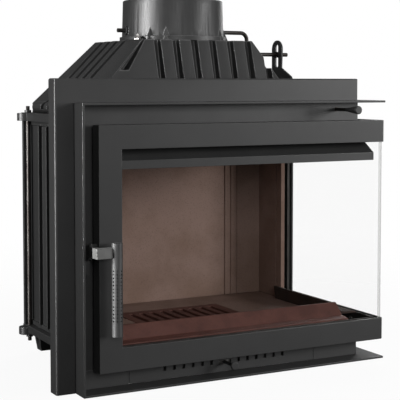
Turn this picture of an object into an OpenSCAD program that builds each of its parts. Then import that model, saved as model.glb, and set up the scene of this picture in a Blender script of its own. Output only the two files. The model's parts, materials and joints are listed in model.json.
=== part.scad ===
// Corner glazed cast iron fireplace insert: ribbed casing, smoke hood with its flue damper,
// folded surround, side-hung L-shaped glass door, ash drawer and air slide.
// X runs to the right and Y to the back. The origin is under the middle of the surround's front.

/* [Surround] */
// Width of the surround flange
flange_w = 630; // [610:1:700]
// Height of the surround flange
flange_h = 547; // [540:1:620]
// Thickness of the surround sheet
flange_t = 3; // [2:0.5:4]
// Depth of the folded return behind the flange
return_d = 29; // [20:1:40]
// Outer radius of the folds
fold_r = 4; // [4:0.5:8]
// Width of the flange's left and rear bands
band_w = 35; // [25:1:45]
// How far the collar stands proud of the flange
collar_proud = 38.6; // [36:0.1:44]
// Thickness of the collar plates
collar_t = 4; // [3:0.5:6]
// Height of the collar's upper face
collar_h = 505; // [500:1:515]

/* [Firebox] */
// Thickness of the front frame casting
front_t = 8; // [6:0.5:9]
// Thickness of the cast walls
wall_t = 8; // [6:0.5:9]
// How far the wall ribs stand out
rib_proud = 8; // [5:0.5:10]
// Thickness of the wall ribs
rib_t = 6; // [4:0.5:8]
// Spacing of the wall ribs
rib_pitch = 41; // [35:1:50]
// Left outer face of the left wall
wall_left = -232; // [-236:1:-228]
// Depth from the flange to the rear wall's outer face
body_d = 358; // [355:1:370]
// Underside of the base plate
base_z = 40; // [40:0.5:42]
// Thickness of the base plate
base_t = 15; // [12:0.5:15]
// Underside of the top plate
top_z = 464; // [458:1:466]
// Thickness of the top plate
top_t = 16; // [14:0.5:18]
// Thickness of the hearth floor lining
floor_t = 24; // [20:0.5:25]
// Thickness of the wall lining
lining_t = 20; // [15:0.5:24]
// Height left for the baffles and the smoke above the wall lining
smoke_h = 62; // [60:1:72]
// Diameter of the tie rods
tie_d = 8; // [6:0.5:9]

/* [Door] */
// Left edge of the door
door_left = -250; // [-250:0.5:-246]
// Underside of the door
door_z = 38; // [38:0.5:40]
// Height of the door
door_h = 429; // [424:0.5:430]
// How far the door's skin stands in front of the flange
door_proud = 37.3; // [36.8:0.1:37.8]
// Depth of the door frame bars
door_bar = 26.3; // [25:0.1:26.6]
// Width of the door's stiles
stile_w = 43.5; // [42:0.5:48]
// Width of the door's rails
rail_w = 42.2; // [41:0.1:46]
// How far the door stops short of the rear wall's outer face
door_short = 25; // [24:0.5:28]
// Thickness of the ceramic glass
glass_t = 4; // [3:0.5:4.5]
// Diameter of the hinge pins
hinge_pin_d = 10; // [8:0.5:11]

/* [Handle] */
// Diameter of the perforated handle tube
grip_d = 19; // [17:0.5:20]
// Length of the handle tube
grip_l = 161; // [140:1:170]
// Diameter of the holes in the handle tube
grip_hole_d = 3; // [2:0.1:3.5]
// Height of the neck above the ground line
neck_z = 250; // [245:0.5:254]
// Height of the neck
neck_h = 17.7; // [16:0.1:20]

/* [Smoke hood and flue] */
// Width of the hood's top
hood_top_w = 236; // [230:1:244]
// Depth of the hood's top
hood_top_d = 221; // [216:1:228]
// Height of the hood's top face
hood_top_z = 620; // [616:1:622]
// Thickness of the hood's walls
hood_t = 6; // [5:0.5:7]
// Middle of the flue, from the middle of the surround
flue_x = 11; // [9:0.5:13]
// Middle of the flue, from the flange's front
flue_y = 200; // [199:0.5:201]
// Outer diameter of the flue spigot at its foot
spigot_d = 200; // [198:0.5:201]
// Height of the spigot above the hood
spigot_h = 79; // [76:1:83]
// Inner diameter of the socket that takes the flue pipe
socket_d = 186.6; // [186:0.1:187]
// Depth of the flue pipe socket
socket_depth = 17; // [14:0.5:17]

/* [Damper] */
// Diameter of the damper shaft
rod_d = 8; // [7:0.5:8]
// Diameter of the pull rod
pull_d = 6.5; // [6:0.5:8]
// Height of the damper shaft above the hood
shaft_h = 20; // [19:0.5:21]
// Radius of the damper crank
crank_r = 43; // [42:0.5:44]
// Left to right place of the pull rod
pull_x = 264; // [262:0.5:266]
// Height of the pull rod
pull_z = 487.8; // [486.5:0.1:488.5]
// Diameter of the damper plate
damper_d = 174; // [168:1:176]
// Length of the pull rod's tapered knob
pull_knob_l = 40; // [34:1:44]
// Diameter of the control knobs
knob_d = 16; // [14:0.5:17]

/* [Ash drawer and air slide] */
// Width of the drawer front
drawer_w = 392; // [380:1:396]
// Depth of the ash pan
pan_d = 270; // [240:1:280]
// Number of air slots
slot_n = 14; // [10:1:15]
// Spacing of the air slots
slot_pitch = 19.2; // [18:0.1:20]
// Width of an air slot
slot_w = 5.5; // [4:0.5:8]
// Height of an air slot
slot_h = 11; // [6:0.5:12]
// Travel of the air slide to each side
slide_travel = 9; // [8.5:0.1:10]

/* [Hidden] */
$fn = 48;

// Clearances that the pieces share
fit = 0.05;       // radial play of a pin or shaft that turns or slides
seat = 0.3;       // play between a loose piece and what carries it
play = 1;         // play round a moving panel
cut = 1;          // overrun of a cutting tool past the face that it cuts

// Surround
flange_x = flange_w / 2;
collar_left = band_w - flange_x;
collar_right = flange_x + door_proud;
collar_back = body_d + 5;
flange_back = collar_back + band_w;
corner_left = flange_x - return_d;
door_back = body_d - door_short;

// Casing
inner_z = base_z + base_t;
floor_z = inner_z + floor_t;
lining_top = top_z - smoke_h;
frame_low = base_z - 3;
frame_top = collar_h - collar_t;
opening_low = inner_z - 3;
opening_top = top_z - 9;
opening_left = wall_left - 4;
opening_back = door_back - stile_w + 0.5;
frame_right = flange_x;
frame_back = collar_back - collar_t;
casing_right = frame_right - front_t;
rear_y0 = body_d - wall_t;
plate_back = body_d + 2;
plate_left = wall_left - rib_proud - 7;
rib_z0 = inner_z;
rib_h = top_z - inner_z;
post_y0 = opening_back - 28;
post_key = 8;
post_key_y0 = post_y0 + 4;
post_key_y1 = post_key_y0 + 8;
post_x0 = casing_right - wall_t;
lining_left = wall_left + wall_t;
lining_in_x = lining_left + lining_t;
lining_back = rear_y0 - lining_t;
lining_right = post_x0 - post_key - 1;
flute_n = 3;
flute_pitch = 15.1;
flute_w = 3;
flute_d = 2.5;
baffle_t = 20;
baffle_gap = 12;
fender_z = floor_z + 27;
deflector_t = 2;
tie_x = plate_left + 6.5;
tie_front = front_t + 22;
tie_spots = [[tie_x, plate_back - 20], [tie_x, tie_front], [casing_right - 19, plate_back + 8]];
ear_drop = 4;
ear_r = 12;
ear_left_r = 15;
ear_left_x = tie_x - 5;
tie_stub = 13;
nut_h = 5;
feet_x = 226;

// Ash way through the floor
ash_x0 = -80;
ash_x1 = 120;
ash_y0 = 96;
ash_y1 = 236;
grate_lip = 14;

// Smoke hood
hood_z0 = top_z + top_t;
hood_x0 = flue_x - hood_top_w / 2 - 1;
hood_x1 = hood_x0 + hood_top_w;
hood_y0 = flue_y - hood_top_d / 2 + 0.5;
hood_y1 = hood_y0 + hood_top_d;
hood_rise = hood_top_z - hood_z0;
hood_left = plate_left + 42;
hood_right = casing_right - 91;
hood_front = front_t + 64;
hood_back = plate_back - 16;
hood_wall_in = 13;
hood_foot_left = plate_left + 21;
hood_foot_right = casing_right - 85;
hood_foot_front = hood_front - 23;
hood_foot_back = hood_back + 12;
hood_foot_r = 11;
hood_foot_end = tie_spots[0][1] - 12;
hood_groove_w = 13.3;
hood_groove_pitch = 38.8;
hood_side_groove_w = 16;
hood_side_pitch = 36;
hood_rim_t = 7;

// Flue
spigot_top = hood_top_z + spigot_h;
shaft_z = hood_top_z + shaft_h;
spigot_r = spigot_d / 2;
spigot_draft = 2;
bead_r = spigot_r + 4.5;
bead_h = 8;
spigot_bore_r = 89;
gusset_h = 26;
gusset_r = 11;
socket_r = socket_d / 2;
plate_half = 52;
damper_t = 4;

// Damper linkage
rod_r = rod_d / 2;
shaft_left = flue_x - spigot_r - 19;
crank_x = flue_x + spigot_r + 69;
link_x0 = pull_x - 12;
link_t = 4;
pin_end = link_x0 + 25;
link_w = 38;
link_slot_play = 1.7;
washer_t = 1.5;
washer_r = rod_r + 2.6;
bush_t = 1.5;
crank_bend = 14;
link_back = 150;
crank_swing = 45;
pull_front = -34;
pull_r = pull_d / 2;
pull_back = link_back - 4;
guide_y = 62;
guide_t = 6;

// Door
door_right = flange_x + door_proud;
door_top = door_z + door_h;
lip = 12;
lip_t = 4;
ledge_d = 12;
glass_corner_gap = 0.3;
door_chamfer = 4;
seal_r = 5.3;
screw_r = 2.5;
screw_pitch_x = 126;
screw_pitch_y = 100;
screw_pitch_z = 120;
hinge_x = door_right - 5;
hinge_y = door_back + 13;
hinge_r = hinge_pin_d / 2 + 3.5;
hinge_eye_h = 18;
hinge_zs = [door_z + 34, door_top - 63];
glass_y0 = -door_proud + lip_t;
glass_x1 = door_right - lip_t;
glass_in = lip - 2;
glass_z0 = door_z + rail_w - glass_in;
glass_z1 = door_top - rail_w + glass_in;
glass_left = door_left + stile_w - glass_in;
glass_back = door_back - stile_w + glass_in;
gasket_w = 8;
gasket_back = lip_t + 8;
keep_t = 3;
keep_w = glass_in + ledge_d - 1;
keep_back = gasket_back + keep_t;

// Handle
grip_x = door_left + 24.5;
grip_y = -door_proud - 19.7;
grip_r = grip_d / 2;
grip_wall = 1.5;
grip_z0 = neck_z + 17 - grip_l;
pivot_x = door_left - 9;
pivot_y = -door_proud + 13.3;
pivot_r = 3;
lug_r = 5.5;
lug_t = 4;
arm_w = 10;
cross_d = 14;
tail_x = pivot_x - 2.8;
tail_w = 4.6;
tail_l = 18;
neck_z0 = neck_z - neck_h / 2;
neck_z1 = neck_z + neck_h / 2;
hook_z0 = neck_z0 - 29;
keeper_h = 24;

// Ash drawer
drawer_x = 18;
drawer_z0 = collar_t + 0.5;
drawer_z1 = frame_low - 0.5;
panel_t = 4;
pan_t = 1.5;
pan_w = drawer_w - 14;
pan_y0 = panel_t + 4;
knob_z = 22;
slot_z = 25;
slide_t = 1.8;
slide_z0 = drawer_z0 + 9;
stem_r = 3;
stem_l = 25;
air_knob_l = 13;
box_t = 2;

black = [0.21, 0.21, 0.22];
cast = [0.17, 0.17, 0.18];
stone_tone = [0.40, 0.34, 0.30];
steel_tone = [0.62, 0.62, 0.63];
glass_tone = [0.75, 0.80, 0.78, 0.3];
rope_tone = [0.45, 0.44, 0.42];

// A box between two opposite corners
module span(low, high) {
    translate(low) cube([high[0] - low[0], high[1] - low[1], high[2] - low[2]]);
}

// A round bar from a point along one axis; dir is 0 for X, 1 for Y and 2 for Z
module bar(from, l, r, dir) {
    turn = dir == 0 ? [0, 90, 0] : dir == 1 ? [-90, 0, 0] : [0, 0, 0];
    translate(from) rotate(turn) cylinder(h = l, r = r);
}

// A profile drawn in the YZ plane, made solid from x0 to x1
module slab_yz(points, x0, x1) {
    translate([x0, 0, 0]) rotate([90, 0, 90]) linear_extrude(x1 - x0) polygon(points);
}

// A profile drawn in the XZ plane, made solid from y0 to y1
module slab_xz(points, y0, y1) {
    translate([0, y1, 0]) rotate([90, 0, 0]) linear_extrude(y1 - y0) polygon(points);
}

// A rectangle with round corners on the sides that face the room
module soft_rect(low, high, r) {
    translate([low[0] + r, low[1] + r]) circle(r);
    translate([high[0] - r, low[1] + r]) circle(r);
    translate([low[0] + r, low[1]]) square([high[0] - low[0] - 2 * r, r]);
    translate([low[0], low[1] + r]) square([high[0] - low[0], high[1] - low[1] - r]);
}

// The block that the folded flange is cut from, with every visible fold rounded
module fold_block(inset) {
    r = fold_r - inset;
    x = flange_x - inset;
    top = flange_h - inset;
    intersection() {
        translate([0, 0, -cut]) linear_extrude(top + cut) soft_rect([-x, inset], [x, flange_back - inset], r);
        translate([-flange_x, 0, 0]) rotate([90, 0, 90]) linear_extrude(flange_w)
            rotate(-90) soft_rect([-top, inset], [flange_h, flange_back], r);
        translate([0, flange_back, 0]) rotate([90, 0, 0]) linear_extrude(flange_back)
            rotate(180) soft_rect([-x, -top], [x, flange_h], r);
    }
}

// Sheet flange round the front, folded on round the right side
module surround_flange() {
    color(black) difference() {
        intersection() {
            fold_block(0);
            union() {
                span([-flange_x, 0, 0], [flange_x, return_d, flange_h]);
                span([corner_left, 0, 0], [flange_x, flange_back, flange_h]);
            }
        }
        fold_block(flange_t);
        span([collar_left, -cut, -cut], [flange_x + cut, flange_t + cut, collar_h]);
        span([corner_left - cut, -cut, -cut], [flange_x + cut, collar_back, collar_h]);
    }
}

// The collar's plan, from its outer edge back to the flange
module collar_plan() {
    inner = flange_x - flange_t;
    polygon([[collar_left, -collar_proud], [collar_right, -collar_proud], [collar_right, collar_back],
        [inner, collar_back], [inner, flange_t], [collar_left, flange_t]]);
}

// Four plates that stand proud of the flange round the door
module surround_collar() {
    inner = flange_x - flange_t;
    color(black) {
        linear_extrude(collar_t) collar_plan();
        translate([0, 0, frame_top]) linear_extrude(collar_t) collar_plan();
        span([collar_left, -collar_proud, collar_t], [collar_left + collar_t, flange_t, frame_top]);
        span([inner, frame_back, collar_t], [collar_right, collar_back, frame_top]);
    }
}

// A band that follows the front and the right side, between two depths behind a skin
module corner_band(skin_x, skin_y, d0, d1, x0, y1, chamfer = 0) {
    polygon([[x0, skin_y + d0], [skin_x - d0 - chamfer, skin_y + d0], [skin_x - d0, skin_y + d0 + chamfer],
        [skin_x - d0, y1], [skin_x - d1, y1], [skin_x - d1, skin_y + d1], [x0, skin_y + d1]]);
}

// Casting behind the door, open to the front and to the right side
module front_frame() {
    left = collar_left + collar_t;
    color(cast) difference() {
        translate([0, 0, frame_low]) linear_extrude(frame_top - frame_low)
            corner_band(frame_right, 0, 0, front_t, left, frame_back);
        span([opening_left, -cut, opening_low], [frame_right + cut, front_t + cut, opening_top]);
        span([casing_right - cut, -cut, opening_low], [frame_right + cut, opening_back, opening_top]);
        bar([pull_x, -cut, pull_z], front_t + 2 * cut, pull_r + bush_t, 1);
    }
}

// Fixed strips beside the ash drawer
module lower_panel_left() {
    color(black) span([collar_left + collar_t, 0, collar_t], [drawer_x - drawer_w / 2, panel_t, frame_low]);
}

module lower_panel_right() {
    color(black) translate([0, 0, collar_t]) linear_extrude(frame_low - collar_t)
        corner_band(frame_right, 0, 0, panel_t, drawer_x + drawer_w / 2, frame_back);
}

// Lugs at the plate's corners that the tie rods pass through
module tie_ears(z, thick) {
    for (spot = tie_spots) bar([spot[0], spot[1], z], thick, ear_r, 2);
    for (y = [tie_front, plate_back - ear_left_r]) bar([ear_left_x, y, z], thick, ear_left_r, 2);
}

module tie_holes(z, thick) {
    for (spot = tie_spots) bar([spot[0], spot[1], z - cut], thick + 2 * cut, tie_d / 2 + seat, 2);
}

// Cast base plate with its raised lip and the opening over the ash pan
module base_plate() {
    color(cast) difference() {
        union() {
            span([plate_left, front_t, base_z], [casing_right, plate_back, inner_z]);
            tie_ears(base_z - ear_drop, base_t);
        }
        span([ash_x0, ash_y0, base_z - cut], [ash_x1, ash_y1, inner_z + cut]);
        tie_holes(base_z - ear_drop, base_t + ear_drop);
    }
}

// Tapered cast feet under the rear of the base plate
module rear_feet() {
    lean = 6;
    foot_w = 90;
    color(cast) for (side = [-1, 1]) {
        x = side < 0 ? -feet_x : feet_x - 4;
        intersection() {
            slab_xz([[x - side * lean, 0], [x - side * (foot_w - 4), 0],
                [x - side * foot_w, base_z], [x, base_z]], flue_y, plate_back);
            slab_yz([[plate_back - 28, 0], [plate_back - 6, 0],
                [plate_back, base_z], [plate_back - 34, base_z]], -flange_x, flange_x);
        }
    }
}

// Ribbed cast left wall
module left_wall() {
    color(cast) difference() {
        union() {
            span([wall_left, front_t, rib_z0], [lining_left, rear_y0, top_z]);
            for (k = [0 : 6]) {
                y = rear_y0 - 64 - k * rib_pitch;
                if (y > front_t + 6) {
                    slab_xz([[wall_left + 1, rib_z0], [wall_left - rib_proud, rib_z0 + 10],
                        [wall_left - rib_proud, top_z - 10], [wall_left + 1, top_z]],
                        y - rib_t / 2, y + rib_t / 2);
                }
            }
            span([wall_left - 3, front_t, rib_z0], [wall_left, rear_y0, rib_z0 + 9]);
            span([wall_left - 3, front_t, top_z - 9], [wall_left, rear_y0, top_z]);
        }
        for (spot = tie_spots) bar([spot[0], spot[1], rib_z0 - cut], rib_h + 2 * cut, tie_d / 2 + 1, 2);
    }
}

// Ribbed cast rear wall
module rear_wall() {
    color(cast) {
        span([plate_left, rear_y0, rib_z0], [casing_right, body_d, top_z]);
        for (k = [0 : 12]) {
            x = plate_left + 20 + k * rib_pitch;
            y = body_d + rib_proud + 4;
            if (x < casing_right - rib_t) slab_yz([[body_d - 1, rib_z0 + 4], [y, rib_z0 + 14],
                [y, top_z - 14], [body_d - 1, top_z - 4]], x - rib_t / 2, x + rib_t / 2);
        }
    }
}

// Cast column between the rear wall and the side opening
module right_post() {
    color(cast) {
        span([post_x0, post_y0, rib_z0], [casing_right, rear_y0, top_z]);
        span([post_x0 - post_key, post_key_y0, rib_z0], [post_x0, post_key_y1, top_z]);
    }
}

// Cast top plate with the way up into the hood
module top_plate() {
    color(cast) difference() {
        union() {
            span([plate_left, front_t, top_z], [casing_right, plate_back, hood_z0]);
            tie_ears(top_z, base_t);
        }
        span([hood_left + 14, hood_front + 14, top_z - cut],
            [hood_right - 14, hood_back - 20, hood_z0 + cut]);
        tie_holes(top_z, top_t);
    }
}

// Rods that clamp the top plate, the walls and the base plate together
module tie_rods() {
    z0 = base_z - ear_drop - tie_stub;
    color(steel_tone) for (spot = tie_spots)
        bar([spot[0], spot[1], z0], hood_z0 + tie_stub - z0, tie_d / 2, 2);
}

// Hexagon nuts on both ends of each tie rod
module tie_rod_nuts() {
    low = base_z - ear_drop - nut_h;
    color(cast) for (spot = tie_spots) {
        high = spot[1] > plate_back ? top_z + base_t : hood_z0;
        for (z = [low, high]) translate([spot[0], spot[1], z]) difference() {
            cylinder(h = nut_h, r = tie_d * 0.92, $fn = 6);
            translate([0, 0, -cut]) cylinder(h = nut_h + 2 * cut, r = tie_d / 2 + 0.02);
        }
    }
}

// Pyramid block inside the hood's skin by an inset, from a height up to the top plate
module hood_block(inset, z_low) {
    grow = (hood_z0 - z_low) / hood_rise;
    top_in = hood_wall_in + inset;
    left = hood_left + inset - grow * (hood_x0 + hood_wall_in - hood_left);
    right = hood_right - inset + grow * (hood_right - hood_x1 + hood_wall_in);
    front = hood_front + inset - grow * (hood_y0 + hood_wall_in - hood_front);
    back = hood_back - inset + grow * (hood_back - hood_y1 + hood_wall_in);
    high = hood_top_z - inset;
    intersection() {
        slab_xz([[left, z_low], [right, z_low], [hood_x1 - top_in, high], [hood_x0 + top_in, high]],
            front - cut, back + cut);
        slab_yz([[front, z_low], [back, z_low], [hood_y1 - top_in, high], [hood_y0 + top_in, high]],
            left - cut, right + cut);
    }
}

// The hood's outer form, before the cooling grooves are cut, with a round foot on the left
module hood_form() {
    knee = hood_foot_r * 1.7;
    y0 = hood_foot_front - cut;
    intersection() {
        union() {
            slab_xz([[hood_foot_left, hood_z0], [hood_foot_right, hood_z0],
                [hood_x1, hood_top_z], [hood_x0, hood_top_z],
                [hood_foot_left - 2, hood_z0 + knee], [hood_foot_left, hood_z0 + hood_foot_r]],
                y0, hood_foot_back + cut);
            bar([hood_foot_left + 1, y0, hood_z0 + hood_foot_r], hood_foot_end - y0, hood_foot_r, 1);
        }
        slab_yz([[hood_foot_front, hood_z0], [hood_foot_back, hood_z0], [hood_y1, hood_top_z],
            [hood_y0, hood_top_z]], plate_left, casing_right);
    }
}

// Where a groove's floor stands, as two points between the foot's and the top's place of the block's face
function groove_floor(foot, top) = [for (z = [hood_z0 + hood_rim_t, hood_top_z + cut])
    [foot + (top - foot) * (z - hood_z0) / hood_rise, z]];

// Grooves between the cooling ribs, down to the block that the skin follows
module hood_grooves() {
    low = hood_z0 + hood_rim_t;
    high = hood_top_z + cut;
    front = groove_floor(hood_front + cut, hood_y0 + hood_wall_in + cut);
    back = groove_floor(hood_back - cut, hood_y1 - hood_wall_in - cut);
    left = groove_floor(hood_left + cut, hood_x0 + hood_wall_in + cut);
    right = groove_floor(hood_right - cut, hood_x1 - hood_wall_in - cut);
    y_front = hood_foot_front - cut;
    y_back = hood_foot_back + cut;
    for (k = [-2.5 : 4.5]) {
        x = flue_x + k * hood_groove_pitch + 2.5;
        slab_yz([[y_front, low], front[0], front[1], [y_front, high]], x, x + hood_groove_w);
        slab_yz([back[0], [y_back, low], [y_back, high], back[1]], x, x + hood_groove_w);
    }
    for (k = [-1 : 2]) {
        y = flue_y + k * hood_side_pitch - 6.5;
        slab_xz([[plate_left, low], left[0], left[1], [plate_left, high]], y, y + hood_side_groove_w);
        slab_xz([right[0], [casing_right, low], [casing_right, high], right[1]], y, y + hood_side_groove_w);
    }
}

// Slot that narrows towards the top, between the front panel and the hood's left corner
module hood_corner_slot() {
    low = hood_top_z - 58;
    slab_xz([[hood_x0 - 52, low], [hood_x0 - 35, low], [hood_x0 + 6.5, hood_top_z + cut],
        [hood_x0 + 2.5, hood_top_z + cut]], hood_foot_front - cut, hood_y0 + 8);
}

// Cast hood that gathers the smoke to the flue, grooved to cool
module smoke_hood() {
    rim = 12;
    color(cast) difference() {
        union() {
            hood_block(0, hood_z0);
            difference() {
                hood_form();
                hood_grooves();
                hood_corner_slot();
            }
            span([hood_left - rim, hood_front - rim, hood_z0],
                [hood_right + rim, hood_back + 4, hood_z0 + hood_rim_t]);
        }
        hood_block(hood_t, hood_z0 - cut);
        bar([flue_x, flue_y, hood_top_z - 2 * hood_t], 3 * hood_t, spigot_bore_r, 2);
    }
}

// Cast flue spigot with a foot bead, gussets, a socket and the damper shaft's bores
module flue_spigot() {
    lip_r = spigot_r - spigot_draft;
    color(cast) difference() {
        union() {
            translate([flue_x, flue_y, 0]) rotate_extrude($fn = 96) polygon([[spigot_bore_r - 2, hood_top_z],
                [bead_r, hood_top_z], [bead_r, hood_top_z + bead_h], [spigot_r, hood_top_z + bead_h],
                [lip_r, spigot_top - 1.5], [lip_r - 1.5, spigot_top], [spigot_bore_r - 2, spigot_top]]);
            for (a = [-142, -124, -52, -28, 52, 128]) translate([flue_x, flue_y, hood_top_z]) rotate(a)
                translate([spigot_r - 1.5, 0, 0]) cylinder(h = gusset_h, r1 = gusset_r, r2 = 0.6, $fn = 4);
            bar([flue_x - spigot_r - 4, flue_y, shaft_z], 12, rod_r + 5, 0);
            bar([flue_x + spigot_r - 8, flue_y, shaft_z], 12, rod_r + 5, 0);
        }
        bar([flue_x, flue_y, hood_top_z - cut], spigot_top - hood_top_z, spigot_bore_r, 2);
        bar([flue_x, flue_y, spigot_top - socket_depth], socket_depth + cut, socket_r, 2);
        bar([flue_x - bead_r - 20, flue_y, shaft_z], 2 * bead_r + 40, rod_r + fit, 0);
    }
}

// Clamp bolts that hold the spigot down on the hood
module spigot_bolts() {
    clamp = [14, 10, 3];
    head_h = 5;
    color(steel_tone) for (a = [-152, 62, 122]) translate([flue_x, flue_y, hood_top_z]) rotate(a) {
        translate([bead_r, -clamp[1] / 2, 0]) cube(clamp);
        translate([bead_r + 9, 0, clamp[2]]) {
            cylinder(h = head_h, r = 5.5, $fn = 6);
            translate([0, 0, head_h]) cylinder(h = 3, r = 2.5);
        }
    }
}

// Floor lining in one casting round the grate
module floor_lining() {
    color(stone_tone) difference() {
        span([lining_left + seat, front_t + 4, inner_z], [post_x0 - seat, rear_y0 - seat, floor_z]);
        span([ash_x0 - grate_lip, ash_y0 - grate_lip, inner_z - cut],
            [ash_x1 + grate_lip, ash_y1 + grate_lip, floor_z + cut]);
        span([post_x0 - post_key - seat, post_key_y0 - seat, inner_z - cut],
            [post_x0, rear_y0, floor_z + cut]);
    }
}

// Linings of the rear wall, fluted near its right end, and of the left wall and the post
module rear_lining() {
    last = lining_right - 58;
    color(stone_tone) difference() {
        span([lining_left + seat, lining_back, floor_z], [lining_right, rear_y0 - seat, lining_top]);
        for (k = [0 : flute_n - 1]) {
            x = last - k * flute_pitch;
            span([x - flute_w / 2, lining_back - cut, floor_z - cut],
                [x + flute_w / 2, lining_back + flute_d, lining_top + cut]);
        }
    }
}

module left_lining() {
    color(stone_tone) span([lining_left + seat, front_t + 24, floor_z],
        [lining_in_x, lining_back - seat, lining_top]);
}

module post_lining() {
    color(stone_tone) difference() {
        span([lining_right, post_y0 - 22, floor_z], [post_x0 - seat, rear_y0 - seat, lining_top]);
        span([lining_right - cut, post_y0 - 4, floor_z - cut],
            [lining_right + 2, post_y0 - 1, lining_top + cut]);
        span([post_x0 - post_key - seat, post_key_y0 - seat, floor_z - cut],
            [post_x0, post_key_y1 + seat, lining_top + cut]);
    }
}

// Lower baffle lies on the linings and turns the smoke to the front
module lower_baffle() {
    color(stone_tone) span([lining_left + 2, ash_y0 + 9, lining_top],
        [post_x0 - post_key - seat, rear_y0 - 2, lining_top + baffle_t]);
}

// Ledges on the left wall and on the post that carry the upper baffle
module baffle_ledges() {
    z = lining_top + baffle_t + baffle_gap;
    ledge_t = 4;
    right = post_x0 - 20;
    color(cast) {
        span([lining_left, front_t + 20, z - ledge_t], [lining_left + 14, rear_y0 - 60, z]);
        span([right, post_key_y1 + seat, z - ledge_t], [post_x0, rear_y0, z]);
        span([right, front_t + deflector_t, z - ledge_t], [post_x0 - 6, front_t + 46, z]);
        span([right, front_t + deflector_t, z], [right + ledge_t, front_t + 8, top_z]);
    }
}

// Upper baffle lies on the ledges and turns the smoke back
module upper_baffle() {
    z = lining_top + baffle_t + baffle_gap;
    t = 18;
    way_front = 24;
    way_back = 62;
    color(stone_tone) span([lining_left + 2, front_t + way_front, z],
        [post_x0 - 18, rear_y0 - way_back, z + t]);
}

// Bent sheet that washes the glass with air from above
module air_deflector() {
    t = deflector_t;
    lip_y = -20;
    lip_low = lining_top - 13;
    bend_z = lining_top;
    back_z = lining_top + 19;
    color(black) {
        slab_yz([[lip_y - t, lip_low], [lip_y, lip_low], [lip_y, bend_z], [front_t, back_z],
            [front_t, back_z + 3], [lip_y - t, bend_z + t]], opening_left + 10, door_right - 15);
        span([lining_left, front_t, back_z], [post_x0, front_t + t, top_z]);
    }
}

// Section of a guard behind the glass: flat foot, then a plate that leans in; side is its way in
function fender_points(outer, inner, knee, side) = [[outer, floor_z], [inner, floor_z],
    [inner + side * 4, fender_z], [inner - side * 2, fender_z + 0.5], [knee, floor_z + 5],
    [outer, floor_z + 3]];

// Raised guards behind the glass that keep embers off it
module front_fender() {
    color(cast) slab_yz(fender_points(-19, 26, 2, 1), opening_left + 16, post_x0 - 16);
}

module side_fender() {
    color(cast) slab_xz(fender_points(door_right - 15, post_x0 - 24, post_x0 + 4, -1),
        front_t + 23, post_y0 - 23);
}

// Cast grate over the ash pan
module grate() {
    x0 = ash_x0 - grate_lip + 1;
    x1 = ash_x1 + grate_lip - 1;
    y0 = ash_y0 - grate_lip + 1;
    y1 = ash_y1 + grate_lip - 1;
    gaps = 9;
    gap_w = 10;
    pitch = (ash_x1 - ash_x0) / gaps;
    color(cast) difference() {
        span([x0, y0, inner_z], [x1, y1, floor_z]);
        span([ash_x0 + 4, ash_y0 + 4, inner_z - cut], [ash_x1 - 4, ash_y1 - 4, floor_z - 12]);
        for (k = [0 : gaps - 1]) {
            x = ash_x0 + (k + 0.5) * pitch;
            span([x - gap_w / 2, ash_y0 + 8, inner_z], [x + gap_w / 2, ash_y1 - 8, floor_z + cut]);
        }
    }
}

// Sheet air box under the base plate, in which the ash pan runs
module ash_box() {
    x0 = drawer_x - drawer_w / 2 + 2;
    x1 = drawer_x + drawer_w / 2 - 2;
    back = pan_y0 + pan_d + 12;
    t = box_t;
    color(black) difference() {
        span([x0 - t, panel_t, collar_t], [x1 + t, back, base_z]);
        span([x0, panel_t - cut, collar_t + t], [x1, back - t, base_z + cut]);
        span([x0 - t - cut, panel_t - cut, frame_low], [x1 + t + cut, front_t, base_z + cut]);
    }
}

// Cast block on the collar that the latch hook draws against
module latch_keeper() {
    inner = collar_left + collar_t;
    crest_x = pivot_x - 3.4;
    rear_x = pivot_x - 9.6;
    color(steel_tone) translate([0, 0, hook_z0 - 2]) linear_extrude(keeper_h)
        polygon([[inner, pivot_y], [crest_x, pivot_y], [crest_x, pivot_y + 3.6], [rear_x, pivot_y + 14.6],
            [rear_x, pivot_y + tail_l], [inner, pivot_y + tail_l]]);
}

// Hinge eyes fixed to the side of the casing
module hinge_brackets() {
    color(cast) for (z = hinge_zs) difference() {
        union() {
            bar([hinge_x, hinge_y, z], hinge_eye_h, hinge_r, 2);
            span([frame_right, hinge_y - 4, z], [hinge_x, hinge_y + 4, z + hinge_eye_h]);
            span([frame_right, hinge_y - 10, z - 8], [frame_right + 5, hinge_y + 12, z + hinge_eye_h]);
        }
        bar([hinge_x, hinge_y, z - cut], hinge_eye_h + 2 * cut, hinge_pin_d / 2, 2);
    }
}

// Pins on which the door hangs
module hinge_pins() {
    color(steel_tone) for (z = hinge_zs) bar([hinge_x, hinge_y, z], 2 * hinge_eye_h + 1, hinge_pin_d / 2, 2);
}

// Bush in the front frame and post on the top plate that guide the pull rod
module rod_guides() {
    collar = 4;
    color(steel_tone) {
        difference() {
            union() {
                bar([pull_x, 0, pull_z], front_t, pull_r + bush_t, 1);
                bar([pull_x, front_t, pull_z], collar, pull_r + bush_t + 1, 1);
            }
            bar([pull_x, -cut, pull_z], front_t + collar + 2 * cut, pull_r + fit, 1);
        }
        difference() {
            span([pull_x - 9, guide_y, hood_z0], [pull_x + 9, guide_y + guide_t, pull_z + 10]);
            bar([pull_x, guide_y - cut, pull_z], guide_t + 2 * cut, pull_r + fit, 1);
        }
    }
}

// The door's L-shaped ring between two depths behind its skin, drawn in from its edges
module door_ring(d0, d1, side_in, rail_in, chamfer = 0) {
    translate([0, 0, door_z + rail_in]) linear_extrude(door_h - 2 * rail_in)
        corner_band(door_right, -door_proud, d0, d1, door_left + side_in, door_back - side_in, chamfer);
}

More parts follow.
